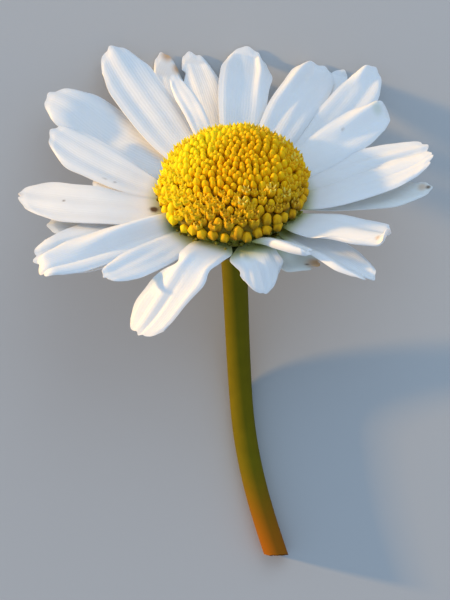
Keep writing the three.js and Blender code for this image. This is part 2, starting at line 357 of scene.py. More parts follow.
petals = [
    {"from": 190, "to": 175.3, "reach": 23.4, "width": 6.1, "peak": 0.85, "tip": 1.2, "arch": 0.7,
     "tipRoll": 4, "cup": 0.2, "notch": 0.2, "round": 0.14,
     "bulges": [(0.9, -1, 0.2, 0.6), (0.47, -1, 0.14, 0.25), (0.8, 1, 0.16, 0.1)],
     "nicks": [(0.02, 0.09, 0.4), (0.5, 0.15, 0.2)],
     "hills": [(0.6, 0.6, 0.5, 0.3, -0.22), (0.55, 0.1, 0.5, 0.2, 0.1)],
     # the spot at 0.117 along is painted shade of the gap where the petal meets the disc
     "marks": [("spot", 0.69, -0.08, 0.24, 0.75), ("spot", 0.117, -0.02, 0.65, 1.5),
               ("rust", 0.98, -0.1, 0.5, 0.25)]},
    {"from": 188.5, "to": 186.2, "reach": 20.3, "width": 3.4, "root": -0.6, "tip": 0.2, "arch": -0.9,
     "tipRoll": -6, "oliveAndShade": 0.15, "bulges": [(0.8, 1, 0.3, 0.5)]},
    {"from": 202, "to": 199.6, "reach": 22.9, "width": 5.8, "round": 0.12, "root": -0.5, "tip": 0.6,
     "roll": -12, "tipRoll": -14, "curl": -0.4, "bulges": [(0.5, -1, 0.25, 0.5)],
     "hills": [(0.8, -0.55, 0.35, 0.14, 0.12), (0.8, -0.2, 0.35, 0.14, -0.12),
               (0.8, 0.2, 0.35, 0.14, 0.1)],
     "nicks": [(-0.3, 0.1, 0.25), (0.25, 0.1, 0.25)],
     "marks": [("spot", 0.34, -0.75, 0.22, 0.6)]},
    {"from": 209, "to": 204.6, "reach": 23.6, "width": 4.3, "tip": 1.4, "arch": 0.4,
     "roll": -14, "tipRoll": -14, "cup": 0.1, "notch": 0.5, "thick": 1.4,
     "hills": [(0.2, -0.35, 0.42, 0.35, 1.35), (0.75, 0.25, 0.4, 0.12, -0.15), (0.8, 0.6, 0.35, 0.2, 0.12)],
     "nicks": [(-0.35, 0.14, 0.25), (0.3, 0.14, 0.25)], "tipBend": (0.88, -85)},
    {"from": 228, "to": 221, "reach": 18.6, "width": 3.8, "tip": 1.7, "arch": 0.3,
     "roll": -14, "tipRoll": -10, "notch": 0.4,
     "hills": [(0.8, -0.6, 0.25, 0.3, 0.12), (0.75, -0.15, 0.3, 0.2, -0.05)],
     "nicks": [(0.1, 0.1, 0.2)]},
    {"from": 255, "to": 233.6, "sway": 1.5, "reach": 18.5, "width": 4.8, "tip": -4.6,
     "arch": 2.2, "roll": -14, "tipRoll": 2, "cup": -0.1, "notch": 0.2, "round": 0.08,
     "bulges": [(0.14, -1, 0.12, 0.5), (0.14, 1, 0.1, 0.35), (0.46, -1, 0.07, -0.75),
                (0.64, -1, 0.1, 0.5), (0.86, -1, 0.15, 0.8), (0.47, 1, 0.08, -0.3),
                (0.6, 1, 0.08, 0.25), (0.78, 1, 0.1, -0.2)],
     "hills": [(0.62, -0.85, 0.12, 0.35, -0.6), (0.5, -0.45, 0.16, 0.25, 0.35),
               (0.82, 0.0, 0.2, 0.12, -0.2), (0.8, -0.3, 0.2, 0.15, 0.25), (0.55, 0.9, 0.3, 0.2, 0.3)],
     "nicks": [(-0.2, 0.14, 0.15), (0.15, 0.12, 0.15)],
     # the grey-green mark is painted shade on the lower flap beyond a crease
     "marks": [("oliveAndShade", 0.6, -0.9, 1.1, 0.4)]},
    {"from": 283, "to": 283.5, "reach": 11.9, "width": 4.7, "taper": 0.1, "round": 0.3,
     "root": -0.4, "tip": -3, "arch": 0.6, "cup": 0.2, "notch": 0.1,
     "bulges": [(0.4, -1, 0.16, 0.55), (0.72, -1, 0.1, -0.25), (0.7, 1, 0.15, 0.3)],
     "hills": [(0.75, -0.35, 0.2, 0.13, 0.3), (0.8, 0.0, 0.22, 0.1, -0.3), (0.78, 0.3, 0.2, 0.12, 0.28),
               (0.5, -0.6, 0.15, 0.2, 0.25), (0.55, 0.75, 0.2, 0.15, -0.2)],
     "nicks": [(-0.1, 0.12, 0.12)]},
    {"from": 289.5, "to": 306, "reach": 13.2, "width": 3.0, "tip": 1.5, "arch": 0.4, "thick": 1.6,
     "roll": -6, "tipRoll": -8, "notch": 0.4, "fold": (-1, 0.0, 175, 0.05, 0.35), "nicks": [(0.4, 0.2, 0.5)],
     "hills": [(0.6, 0.5, 0.2, 0.3, -0.2)]},
    {"from": 300.5, "to": 315.5, "reach": 12.3, "width": 3.9, "root": -0.75, "tip": -2.4, "arch": -0.6,
     "notch": 0.6, "oliveAndShade": 0.55, "bulges": [(0.75, -1, 0.25, 0.4)],
     "nicks": [(-0.3, 0.1, 0.3), (0.35, 0.12, 0.3)],
     "marks": [("spot", 0.85, -0.35, 0.25, 0.7), ("rust", 0.95, 0.0, 1.3, 1.0)]},
    {"from": 319.5, "to": 317.5, "reach": 19.3, "width": 3.9, "root": -0.6, "tip": -0.4,
     "arch": 0.5, "roll": -4, "tipRoll": -6, "cup": 0.1, "notch": 0.4,
     "bulges": [(0.75, -1, 0.25, 0.4)],
     "hills": [(0.7, -0.8, 0.35, 0.25, 0.5), (0.95, 0.1, 0.1, 0.3, -0.3)],
     "nicks": [(-0.3, 0.12, 0.9)],
     "marks": [("rust", 0.97, -0.45, 0.5, 0.8)]},
    {"from": 325.5, "to": 329.9, "reach": 18.6, "width": 5.1, "tip": 1.6, "arch": 0.8,
     "roll": -10, "tipRoll": -10, "cup": -0.2, "notch": 0.05, "round": 0.05,
     "bulges": [(0.8, -1, 0.4, 1.2), (0.97, 1, 0.2, 0.7)],
     "hills": [(0.92, -0.35, 0.28, 0.45, 1.0)], "nicks": [(-0.7, 0.6, -1.5), (1.0, 0.45, 0.5)],
     "fold": (-1, 0.65, 160, 0.3, 0.7), "tipBend": (0.95, 38),
     "marks": [("rust", 0.95, -0.5, 0.35, 0.8)]},
    {"from": 356, "to": 357, "reach": 21.7, "width": 3.5, "root": -0.6, "tip": 0.9, "arch": -0.1,
     "cup": 0.1, "oliveAndShade": 0.3, "bulges": [(0.8, -1, 0.2, 0.3)],
     "marks": [("spot", 0.97, 0.05, 0.4, 0.9), ("rust", 0.93, 0.15, 0.8, 0.6)]},
    {"from": 350, "to": 364.3, "reach": 22.1, "width": 4.2, "tip": 3.1, "arch": 0.6, "cup": -0.2,
     "notch": 0.2, "bulges": [(0.7, 1, 0.2, 0.25)],
     "hills": [(0.75, 0.0, 0.3, 0.12, -0.12), (0.75, 0.45, 0.35, 0.2, 0.12)],
     "nicks": [(-0.35, 0.08, 0.3), (0.05, 0.08, 0.2)]},
    {"from": 14, "to": 13.8, "reach": 22.6, "width": 4.4, "root": -0.4, "tip": 1.0, "arch": 0.6,
     "bulges": [(0.2, 1, 0.3, 0.8)],
     "hills": [(0.7, 0.0, 0.3, 0.15, 0.2), (0.7, 0.5, 0.3, 0.2, -0.1)],
     "nicks": [(0.3, 0.12, 0.15)]},
    {"from": 27.5, "to": 32, "reach": 21.4, "width": 4.6, "tip": 1.7, "arch": 0.7, "roll": 26, "tipRoll": 18,
     "cup": 0.1, "notch": 0.2, "bulges": [(0.3, -1, 0.3, 0.4)], "hills": [(0.95, 0.4, 0.35, 0.35, 1.0)],
     "tipBend": (0.9, -50),
     # the grey-green mark is a painted shadow below the lit ridge near the tip
     "marks": [("spot", 0.57, 0.3, 0.28, 0.35), ("oliveAndShade", 0.9, 0.25, 0.9, 0.7)]},
    {"from": 41, "to": 49, "reach": 26.8, "width": 4.6, "root": -0.6, "tip": 0.3, "arch": 0.1,
     "roll": 18, "tipRoll": 12, "cup": 0.1, "bulges": [(0.92, -1, 0.15, 0.5)],
     "hills": [(0.93, 0.45, 0.1, 0.3, 0.45)]},
    {"from": 55.8, "to": 57.2, "reach": 25.9, "width": 3.6, "root": -0.75, "tip": -1.1, "arch": -1.2,
     "notch": 0.2, "hills": [(0.88, 0.5, 0.12, 0.4, 0.3)]},
    {"from": 59.3, "to": 62, "reach": 25.1, "width": 5.3, "tip": -0.6, "arch": 1, "roll": 19,
     "tipRoll": 14, "round": 0.1, "bulges": [(0.92, 1, 0.14, 0.5)],
     "hills": [(0.8, 0.62, 0.25, 0.25, 0.6), (0.6, 0.3, 0.4, 0.2, -0.15), (0.6, -0.2, 0.5, 0.2, 0.12)]},
    {"from": 81.4, "to": 82.6, "reach": 24.7, "width": 5.8, "root": 0.42, "tip": 0.9, "arch": 1.9,
     "roll": 18, "tipRoll": 14, "notch": 0.2, "bulges": [(0.72, -1, 0.12, 0.25)],
     "nicks": [(-0.72, 0.12, 0.6)],
     "hills": [(0.8, -0.6, 0.3, 0.16, 0.4), (1.0, 0.25, 0.12, 0.4, 0.25), (0.6, 0.1, 0.5, 0.35, -0.15)],
     "marks": [("rust", 0.95, -0.68, 0.35, 0.45)]},
    {"from": 95.2, "to": 98.6, "reach": 24.8, "width": 4.4, "root": -0.65, "tip": 1, "arch": 0.6,
     "bulges": [(0.9, 1, 0.1, -0.6)], "nicks": [(-0.4, 0.15, 0.2)],
     "hills": [(0.7, 0.3, 0.3, 0.2, 0.15)]},
    {"from": 104.2, "to": 107.8, "reach": 18.7, "width": 2.3, "root": 0.4, "tip": 3.4,
     "arch": 1.1, "cup": 0.1, "notch": 0.1},
    {"from": 110.8, "to": 105.6, "reach": 25.9, "width": 3.7, "root": -0.76, "tip": 0.7, "arch": -1.4,
     "marks": [("rust", 0.97, -0.6, 1.4, 1.0), ("rust", 0.86, -1.0, 1.1, 1.0)]},
    {"from": 122, "to": 118.6, "reach": 26.6, "width": 6.2, "tip": 3.4, "arch": 0.4, "roll": 4,
     "tipRoll": 4, "cup": 0.1, "bulges": [(0.88, -1, 0.1, 0.3)],
     "hills": [(0.92, 0.0, 0.12, 0.5, 0.35), (0.6, 0.4, 0.4, 0.3, -0.08), (0.6, -0.2, 0.4, 0.3, 0.08)],
     "nicks": [(0.2, 0.1, 0.2)]},
    {"from": 135, "to": 139.2, "reach": 26.2, "width": 6.8, "root": -0.5, "tip": 2.4, "arch": -0.2,
     "cup": 0.1, "bulges": [(0.93, 1, 0.12, 0.5), (0.9, -1, 0.12, 0.4)],
     "hills": [(0.82, 0.3, 0.14, 0.9, 0.9), (0.55, 0.1, 0.2, 0.5, -0.3)],
     "nicks": [(-0.2, 0.1, 0.2)]},
    {"from": 164, "to": 151.3, "reach": 22.4, "width": 5.6, "tip": 2.6, "arch": 0.4, "cup": 0.1,
     "notch": 0.4, "bulges": [(0.84, 1, 0.15, 0.4), (0.1, -1, 0.3, -1.0)],
     "hills": [(0.6, 0.4, 0.45, 0.3, -0.08), (0.7, -0.2, 0.4, 0.3, 0.08)],
     "marks": [("spot", 0.47, 0.72, 0.22, 0.6), ("spot", 0.4, 0.68, 0.2, 0.7),
               # the last spot, at the root, is painted shade of the gap by the disc
               ("spot", 0.12, -1.0, 0.8, 1.0)]},
    {"from": 170, "to": 167, "reach": 15.5, "width": 4, "root": 0, "tip": 0.9, "arch": 0.2, "notch": 0.2},
]


def foldedSide(shape, halfWidth, share, across):
    # a margin rolled over its crease: how far aside it lies and how high it stands
    if not shape["fold"]:
        return halfWidth * across, 0
    side, crease, turn, begins, full = shape["fold"]
    beyond = across * side - crease
    angle = math.radians(turn) * smooth(begins, full, share) * beyond / (1 - crease)
    if beyond <= 0 or angle < 1e-4:
        return halfWidth * across, 0
    run = halfWidth * beyond
    aside = halfWidth * crease + run * math.sin(angle) / angle
    return side * aside, run * (1 - math.cos(angle)) / angle


def bentTip(shape, share, length):
    # a tip bent up or down: how far along it lies and how high it stands
    if not shape["tipBend"] or share <= shape["tipBend"][0]:
        return share * length, 0
    begins, turn = shape["tipBend"]
    run = (share - begins) * length
    angle = math.radians(turn) * (share - begins) / (1 - begins)
    return begins * length + run * math.sin(angle) / angle, run * (1 - math.cos(angle)) / angle


def petalLength(shape):
    return shape["reach"] - petal["rootRadius"]


def petalPlace(shape, along, across):
    # half width, share of the length and ridge at a point
    narrow = (1 - min(along / shape["peak"], 1)) ** petal["swellPower"]
    swell = 1 - (1 - petal["claw"]) * narrow
    taper = 1 - shape["taper"] * smooth(petal["taperStart"], 1, along)
    halfWidth = shape["width"] / 2 * swell * taper
    for place, side, reach, size in shape["bulges"]:
        halfWidth += size * hill(along, place, reach) * max(across * side, 0)
    ridge = math.cos(petal["ridges"] * math.pi * across)
    rounded = shape["round"] * abs(across) ** petal["tipRoundPower"]
    notched = petal["notchDepth"] * shape["notch"] * (1 - ridge)
    share = along - (rounded + notched) * along ** petal["tipPower"]
    for place, reach, depth in shape["nicks"]:
        share -= depth / petalLength(shape) * hill(across, place, reach) * along ** petal["nickPower"]
    return halfWidth, share, ridge


def petalPoint(shape, along, across):
    halfWidth, share, ridge = petalPlace(shape, along, across)
    side, folded = foldedSide(shape, halfWidth, share, across)
    run, bent = bentTip(shape, share, petalLength(shape))
    roll = math.radians(mix(shape["roll"], shape["tipRoll"], share))
    bend = shape["sway"] * math.sin(math.pi * share)
    azimuth = math.radians(mix(shape["from"], shape["to"], share) + bend)
    furrow = hill(abs(across), 1 / petal["ridges"], petal["furrowWidth"])
    relief = smooth(*petal["reliefRange"], share)
    pleats = (petal["pleat"] * ridge - petal["furrow"] * furrow) * shape["width"] / petal["plainWidth"]
    seat = Vector((petal["waveAlong"] * along, petal["waveAcross"] * across, shape["seed"]))
    cupped = shape["cup"] * (across**2 - petal["cupLevel"])
    height = (
        mix(shape["root"], shape["tip"], share**2)
        + shape["arch"] * math.sin(math.pi * share) ** 2
        + side * math.sin(roll)
        + cupped * math.sin(math.pi * min(share, petal["cupHeld"]))
        + pleats * relief
        + shape["curl"] * smooth(petal["curlStart"], 1, share)
        + petal["wave"] * noise.noise(seat) * relief
        + folded
        + bent
    )
    for place, placeAcross, reach, reachAcross, rise in shape["hills"]:
        height += rise * hill(share, place, reach) * hill(across, placeAcross, reachAcross)
    point = outwardAt(azimuth) * (petal["rootRadius"] + run) + sidewaysAt(azimuth) * (side * math.cos(roll))
    point.z = height
    return point


def petalMiddle(shape, along, across):
    # lifted clear of the surface that the flower lies on
    point = toWorld(petalPoint(shape, along, across))
    point.z = max(point.z, petal["cadThickness"] / 2)
    return point


def markStrength(shape, kind, along, across):
    halfWidth, share, _ = petalPlace(shape, along, across)
    strength = 0
    for markKind, place, placeAcross, radius, most in shape["marks"]:
        if markKind == kind:
            away = math.hypot((share - place) * petalLength(shape), (across - placeAcross) * halfWidth)
            strength = max(strength, most * (1 - smooth(petal["markCore"] * radius, radius, away)))
    return strength


def makePetal(shape, number, material):
    piece = makeGrid(*petal["grid"])
    thickness = piece.vertex_groups.new(name="thickness")
    marks = {"spot": [], "rust": [], "oliveAndShade": []}
    feet = []
    for vertex in piece.data.vertices:
        across = vertex.co.x
        along = 1 - (0.5 - vertex.co.y / 2) ** petal["rowSpread"]
        thick = 1 - smooth(petal["marginFrom"], 1, abs(across)) * (1 - petal["edgeThickness"])
        thick *= 1 - smooth(petal["tipFrom"], 1, along) * (1 - petal["edgeThickness"])
        thickness.add([vertex.index], thick, "REPLACE")
        vertex.co = petalMiddle(shape, along, across) * mm
        # green at the foot, with painted shade of the disc's rim over it
        feet.append(1 - smooth(*petal["footRange"], along * petalLength(shape)))
        for kind, values in marks.items():
            values.append(markStrength(shape, kind, along, across))
    # grey-green tint all over, partly underside green and partly painted shade
    marks["oliveAndShade"] = [max(value, shape["oliveAndShade"]) for value in marks["oliveAndShade"]]
    setFloats(piece, {**marks, "foot": feet})
    thicken(piece, petal["thickness"] * shape["thick"], 0).vertex_group = "thickness"
    applyAll(piece)
    piece.vertex_groups.clear()
    smoothShade(piece, petal["smoothAngle"])
    settle(piece, f"petal_{number:02d}", [f"ray_petal_{number:02d}"], material)


def petalFinish():
    look = petal["look"]
    finish = Finish("petal")
    blotch = finish.noise(look["blotchScale"], 3)
    grain = finish.noise(look["grainScale"], 2)
    # the foot's green, with painted shade of the disc's rim
    foot = finish.attribute("foot") * (0.55 + blotch * 0.7)
    rust = finish.attribute("rust") * (0.5 + blotch * 0.6)
    colour = finish.mixed(blotch, *look["whites"])
    colour = finish.mixed(foot, colour, look["foot"])
    # grey-green: partly underside green, partly painted shade
    colour = finish.mixed(finish.attribute("oliveAndShade") * look["oliveAndShadeShare"], colour, look["oliveAndShade"])
    colour = finish.mixed(rust, colour, look["rust"])
    # brown spots, and painted shade in two gaps at the disc
    colour = finish.mixed(finish.attribute("spot"), colour, look["spot"])
    phase = finish.along("UV", "X") * look["veins"] + blotch * look["veinWander"]
    relief = finish.math("SINE", phase) * 0.4 + grain * 0.6
    return finish.dressed(look, colour, relief)


petalMaterial = petalFinish()
for number, values in enumerate(petals, start=1):
    makePetal({**plainPetal, **values, "seed": petal["seedStep"] * number}, number, petalMaterial)
print("petals made")


# Disc of florets
disc = {
    "rimHeight": 1.75, "radius": 7.8, "height": 3.95,
    "flat": 0.6,  # how far the dome falls short on its flatter side
    "flatSide": 140,
    "coreSides": 64, "coreRings": 40, "coreBottom": -1.0, "coreRadius": 6.3, "coreInset": 0.1,
    "coreNeckEnds": 0.7,  # of the way from its top pole to its bottom one
    "coreTaper": 3.2,
    "greenRange": (1.6, 3.6),  # height where the core's green begins to fade and is gone
    "florets": 345,
    "thinning": 4.5,  # how much more room a rim floret has than one in the middle
    "goldenAngle": 137.508,
    "lastAngle": 86,
    "smallest": 0.6,  # a floret's width in the middle
    "sizeRange": (0.9, 1.08),
    "jitter": 0.13,
    "upright": 0.8,  # how far the florets turn from the dome's slope to the head's axis
    "tremble": (0.06, 0.2),  # how far they lean at random, in the middle and at the rim
    "budShare": 0.34,
    "budEdge": 0.05,  # how ragged the edge of the buds is
    "budBack": 0.12,  # how much further they reach at the back than at the sides
    "closedShare": 0.3,  # closed ones among the open
    "rimShare": 0.9,
    "backFrom": (0.5, 0.6),  # share and sine of the azimuth past which florets are tall
    "pollenReach": 0.5,
    "rimFlorets": 23,
    "frontAngle": 82,  # where the front rim's round florets take over
    "frontBelow": 0.1,  # sine of the azimuth
    "rimFrom": 174, "rimSweep": 192, "rimRagged": 1.5,
    "rimAngle": (83, 90), "rimSize": (0.88, 1.12), "rimLift": 0.05,
    "frontRange": (2.5, -5.5),  # y of the head where the darker florets begin and are full
    "darkeningBehind": 0.3,  # share of their darkening that the florets have at the back
    # painted light: the florets turn lemon on the side the key lamp lights, partly their own paler yellow
    "lemonAndLitSideRange": (-3.0, 4.0),
    "lemonAndLitSideWeights": (-0.95, 0.55, -2.2),  # to the left, to the back, and off the dome's top
    "nibAbove": 0.95,  # height on a closed floret's sphere
    "footBelow": -0.3, "foot": 0.85,
    "mouthRadius": (0.12, 0.22),  # of an open floret
    # painted shade in an open floret's mouth and in the seams between its lobes
    "mouthHeight": (0.8, 0.9), "mouthShade": 0.2, "seamShade": 0.1, "pollenRange": (1.0, 1.25),
    "smoothAngle": 50,
    # azimuth and angle down from the head's axis of the florets that hold pollen
    "pollenAt": [(30, 59), (356, 48), (292, 37.5), (315, 48), (322, 62), (8, 66), (275, 52), (338, 34)],
    # the closed kinds are spheres with a nib and seams, the open ones crowns with lobes;
    # size is against the room that a floret has, lift how far it stands over the dome
    "kinds": {
        "bud": {"sides": 8, "rings": 6, "nib": 0.1, "wide": 0.38, "tall": 0.85, "seam": 0,
                "size": 1.5, "lift": 0.15, "pollen": 0},
        "closed": {"sides": 10, "rings": 6, "nib": 0.1, "wide": 0.43, "tall": 0.82, "seam": 0.04,
                   "size": 1.08, "lift": 0.12, "pollen": 0},
        "open": {"spread": 0.24, "stretch": 0.04, "size": 1.05, "lift": -0.15, "pollen": 0.15},
        "tall": {"spread": 0.1, "stretch": 0.16, "size": 0.92, "lift": 0.1, "pollen": 0.5},
        "pollen": {"spread": 0.4, "stretch": 0.14, "size": 1.2, "lift": -0.1, "pollen": 1.0},
        "rim": {"sides": 10, "rings": 7, "nib": 0.12, "wide": 0.54, "tall": 0.68, "seam": 0.08,
                "pollen": 0},
    },
    # an open floret from foot to lobes, then its inside: radius and height
    "crown": {
        "sides": 10,
        "foot": 0.24,
        "profile": [(0.36, 0.2), (0.47, 0.45), (0.5, 0.7), (0.46, 0.92), (0.37, 1.14),
                    (0.19, 0.85), (0.08, 0.92)],
        "lobesFrom": (1.1, 0.3),  # height and radius past which the lobes stand out
        "lobeRise": 0.1,
        "cleft": 0.22,  # how far it drops between two lobes
        "bellyFrom": (0.6, 0.38),
        "belly": 0.06,
    },
    # green tubes where the petals' feet meet the disc
    "scale": {
        "count": 110,
        "sides": 6, "radii": (0.34, 0.14), "length": 1.5,
        "ragged": 0.3,
        "place": (7.0, 7.7), "height": (-0.1, 1.4), "lean": (0.6, 1.3), "tone": 0.4,
    },
    "look": {
        "toneRange": (0.15, 0.82), "darkeningRange": (0.25, 0.8),
        # the darker foot colours are partly the florets' deeper orange and partly painted shade of the gaps
        # between them
        "foot": (0.78, 0.38, 0.002), "darkenedFoot": (0.24, 0.105, 0.003),
        # lemon colours: partly the open florets' paler yellow, partly painted light on the lit side
        "lemonAndLitSideFoot": (0.88, 0.58, 0.002),
        "tip": (0.95, 0.55, 0.002), "darkenedTip": (0.82, 0.43, 0.006),
        "lemonAndLitSideTip": (0.96, 0.82, 0.01),
        "bright": (0.95, 0.66, 0.01), "brightShare": 0.25,
        "deep": (0.60, 0.26, 0.004), "deepShare": 0.2,
        "pollen": (1.0, 0.90, 0.22), "pollenShare": 0.9,
        "greens": ((0.12, 0.09, 0.006), (0.30, 0.29, 0.04)),
        "grainScale": 2500, "bumpDistance": 0.00003, "bump": 0.4,
        "roughness": 0.6, "specular": 0.12,
        "inside": 0.3, "insideSpread": (1.0, 0.6, 0.05), "depth": 0.0004,
    },
}


def fiveLobes(place):
    # 1 at each of a ten-sided ring's lobes, -1 between them
    return math.sin(5 * math.atan2(place.y, place.x))


def makeClosed(kind):
    deselect()
    bpy.ops.mesh.primitive_uv_sphere_add(segments=kind["sides"], ring_count=kind["rings"], radius=1)
    floret = bpy.context.object
    selectVertices(floret, lambda co: co.z > disc["nibAbove"])
    bpy.ops.transform.translate(value=(0, 0, kind["nib"]))
    selectVertices(floret, lambda co: co.z < disc["footBelow"])
    bpy.ops.transform.resize(value=(disc["foot"], disc["foot"], 1))
    bpy.ops.mesh.select_all(action="SELECT")
    bpy.ops.transform.resize(value=(kind["wide"], kind["wide"], kind["tall"]))
    bpy.ops.object.mode_set(mode="OBJECT")
    for vertex in floret.data.vertices:
        widened(vertex.co, 1 + kind["seam"] * fiveLobes(vertex.co))
    return floret


def makeCrown(kind):
    crown = disc["crown"]
    deselect()
    bpy.ops.mesh.primitive_circle_add(vertices=crown["sides"], radius=crown["foot"], fill_type="NGON")
    floret = bpy.context.object
    editAll()
    before = (crown["foot"], 0)
    for radius, height in crown["profile"]:
        extrude(height - before[1], radius / before[0])
        before = (radius, height)
    bpy.ops.object.mode_set(mode="OBJECT")
    lobeHeight, lobeRadius = crown["lobesFrom"]
    bellyHeight, bellyRadius = crown["bellyFrom"]
    for vertex in floret.data.vertices:
        radius = math.hypot(vertex.co.x, vertex.co.y)
        lobe = fiveLobes(vertex.co)
        if vertex.co.z > lobeHeight and radius > lobeRadius:
            widened(vertex.co, 1 + kind["spread"] * lobe)
            rise = crown["lobeRise"] if lobe > 0 else crown["cleft"]
            vertex.co.z += rise * lobe + kind["stretch"] * max(lobe, 0)
        elif vertex.co.z > bellyHeight and radius > bellyRadius:
            widened(vertex.co, 1 + crown["belly"] * lobe)
    return floret


def toneOf(co, low, high):
    # painted shade: light at the top, darker towards the foot, and dark in seams and in a mouth, where the
    # florets shade themselves and each other
    nearest, furthest = disc["mouthRadius"]
    bottom, top = disc["mouthHeight"]
    if nearest < math.hypot(co.x, co.y) < furthest and bottom < co.z < top:
        return disc["mouthShade"]
    return (co.z - low) / (high - low) - (disc["seamShade"] - disc["seamShade"] * fiveLobes(co))


def makeFloret(kind):
    floret = makeCrown(kind) if "spread" in kind else makeClosed(kind)
    heights = [vertex.co.z for vertex in floret.data.vertices]
    low, high = min(heights), max(heights)
    tones = [toneOf(vertex.co, low, high) for vertex in floret.data.vertices]
    pollen = [kind["pollen"] * smooth(*disc["pollenRange"], height) for height in heights]
    setFloats(floret, {"tone": tones, "pollen": pollen})
    return floret


def floretPlace(index):
    # its share of the way out, angle down from the axis and azimuth
    growth = math.log(disc["thinning"])
    share = (math.exp((index + 0.5) / disc["florets"] * growth) - 1) / (disc["thinning"] - 1)
    down = math.acos(1 - share * (1 - math.cos(math.radians(disc["lastAngle"]))))
    azimuth = (index * disc["goldenAngle"]) % 360
    return share, down, math.radians(azimuth)


def domePoint(down, azimuth):
    outward = outwardAt(azimuth)
    flat = disc["flat"] * max(math.cos(azimuth - math.radians(disc["flatSide"])), 0) ** 2
    place = outward * (disc["radius"] - flat) * math.sin(down)
    place.z = disc["rimHeight"] + disc["height"] * math.cos(down)
    lean = outward * (math.sin(down) / disc["radius"])
    lean.z = max(math.cos(down), 0) / disc["height"]
    return place, lean.normalized()


def spacing(share):
    return disc["smallest"] * math.sqrt(1 + (disc["thinning"] - 1) * share)


def placeFloret(model, spot, size, lift):
    share, down, azimuth = spot
    place, lean = domePoint(down, azimuth)
    place += lean * lift
    place.x += random.uniform(-1, 1) * disc["jitter"]
    place.y += random.uniform(-1, 1) * disc["jitter"]
    lean = lean.lerp(Vector((0, 0, 1)), disc["upright"]).normalized()
    tremble = Vector((random.uniform(-1, 1), random.uniform(-1, 1), random.uniform(-1, 1)))
    lean += tremble * mix(*disc["tremble"], share)
    spin = Euler((0, 0, random.uniform(0, math.tau))).to_quaternion()
    copy = bpy.data.objects.new("floret", model.data.copy())
    bpy.context.collection.objects.link(copy)
    setOnHead(copy, place, [spin, lean.to_track_quat("Z", "Y")], size)
    # lemon on the lit side: painted light, partly the florets' paler yellow
    left, back, top = disc["lemonAndLitSideWeights"]
    lemonAndLitSide = smooth(*disc["lemonAndLitSideRange"], left * place.x + back * place.y + top * math.cos(down))
    # darker and browner towards the rim, most at the front
    darkening = share * mix(disc["darkeningBehind"], 1, smooth(*disc["frontRange"], place.y))
    setFloats(copy, {"lemonAndLitSide": lemonAndLitSide, "darkening": darkening, "shade": random.random(), "green": 0.0})
    return copy


def makeCore():
    deselect()
    bpy.ops.mesh.primitive_uv_sphere_add(segments=disc["coreSides"], ring_count=disc["coreRings"], radius=1)
    core = bpy.context.object
    green = []
    darkening = []
    for vertex in core.data.vertices:
        down = math.acos(min(max(vertex.co.z, -1), 1))
        azimuth = math.atan2(vertex.co.y, vertex.co.x)
        if down < math.pi / 2:
            local, lean = domePoint(down, azimuth)
            local -= lean * disc["coreInset"]
        else:
            low = smooth(math.pi / 2, math.pi * disc["coreNeckEnds"], down)
            wide = disc["coreRadius"] * min(1, disc["coreTaper"] * (1 - down / math.pi))
            wide = mix(disc["radius"] - disc["coreInset"], wide, low)
            local = Vector((wide * math.cos(azimuth), wide * math.sin(azimuth), 0))
            local.z = mix(disc["rimHeight"], disc["coreBottom"], low)
        green.append(1 - smooth(*disc["greenRange"], local.z))
        darkening.append(smooth(*disc["frontRange"], local.y))
        vertex.co = toWorld(local) * mm
    # the core shows in the gaps between florets and takes the foot's colour, as painted shade there
    plain = {"tone": 0.0, "pollen": 0.0, "lemonAndLitSide": 0.0, "shade": 0.5}
    setFloats(core, {**plain, "green": green, "darkening": darkening})
    return core


def makeScale(index):
    deselect()
    scale = disc["scale"]
    radius, tipRadius = scale["radii"]
    bpy.ops.mesh.primitive_cone_add(
        vertices=scale["sides"], radius1=radius, radius2=tipRadius, depth=scale["length"]
    )
    piece = bpy.context.object
    ragged = random.uniform(-scale["ragged"], scale["ragged"])
    outward = outwardAt((index + ragged) / scale["count"] * math.tau)
    place = outward * random.uniform(*scale["place"])
    place.z = random.uniform(*scale["height"])
    lean = (outward * random.uniform(*scale["lean"]) + Vector((0, 0, 1))).normalized()
    setOnHead(piece, place, [lean.to_track_quat("Z", "Y")])
    plain = {"tone": scale["tone"], "pollen": 0.0, "lemonAndLitSide": 0.0, "darkening": 0.0}
    setFloats(piece, {**plain, "shade": random.random(), "green": 1.0})
    return piece


def discFinish():
    look = disc["look"]
    finish = Finish("disc")
    tone = finish.clamp(*look["toneRange"], finish.attribute("tone"))
    darkening = finish.clamp(*look["darkeningRange"], finish.attribute("darkening"))
    lemonAndLitSide = finish.attribute("lemonAndLitSide")
    shade = finish.attribute("shade")
    pollen = finish.attribute("pollen") * look["pollenShare"]
    grain = finish.noise(look["grainScale"], 3)
    foot = finish.mixed(darkening, look["foot"], look["darkenedFoot"])
    # painted light on the lit side, partly the florets' paler yellow
    foot = finish.mixed(lemonAndLitSide, foot, look["lemonAndLitSideFoot"])
    tip = finish.mixed(darkening, look["tip"], look["darkenedTip"])
    tip = finish.mixed(lemonAndLitSide, tip, look["lemonAndLitSideTip"])
    # painted shade: foot colour low on each floret and in seams and mouths, tip colour on top
    colour = finish.mixed(tone, foot, tip)
    colour = finish.mixed(shade * look["brightShare"], colour, look["bright"])
    colour = finish.mixed(grain * look["deepShare"], colour, look["deep"])
    colour = finish.mixed(pollen, colour, look["pollen"])
    green = finish.mixed(shade, *look["greens"])
    colour = finish.mixed(finish.attribute("green"), colour, green)
    return finish.dressed(look, colour, grain)


def hasPollen(down, azimuth):
    place, _ = domePoint(down, azimuth)
    for spotAzimuth, spotDown in disc["pollenAt"]:
        spot, _ = domePoint(math.radians(spotDown), math.radians(spotAzimuth))
        if (spot - place).length < disc["pollenReach"]:
            return True
    return False


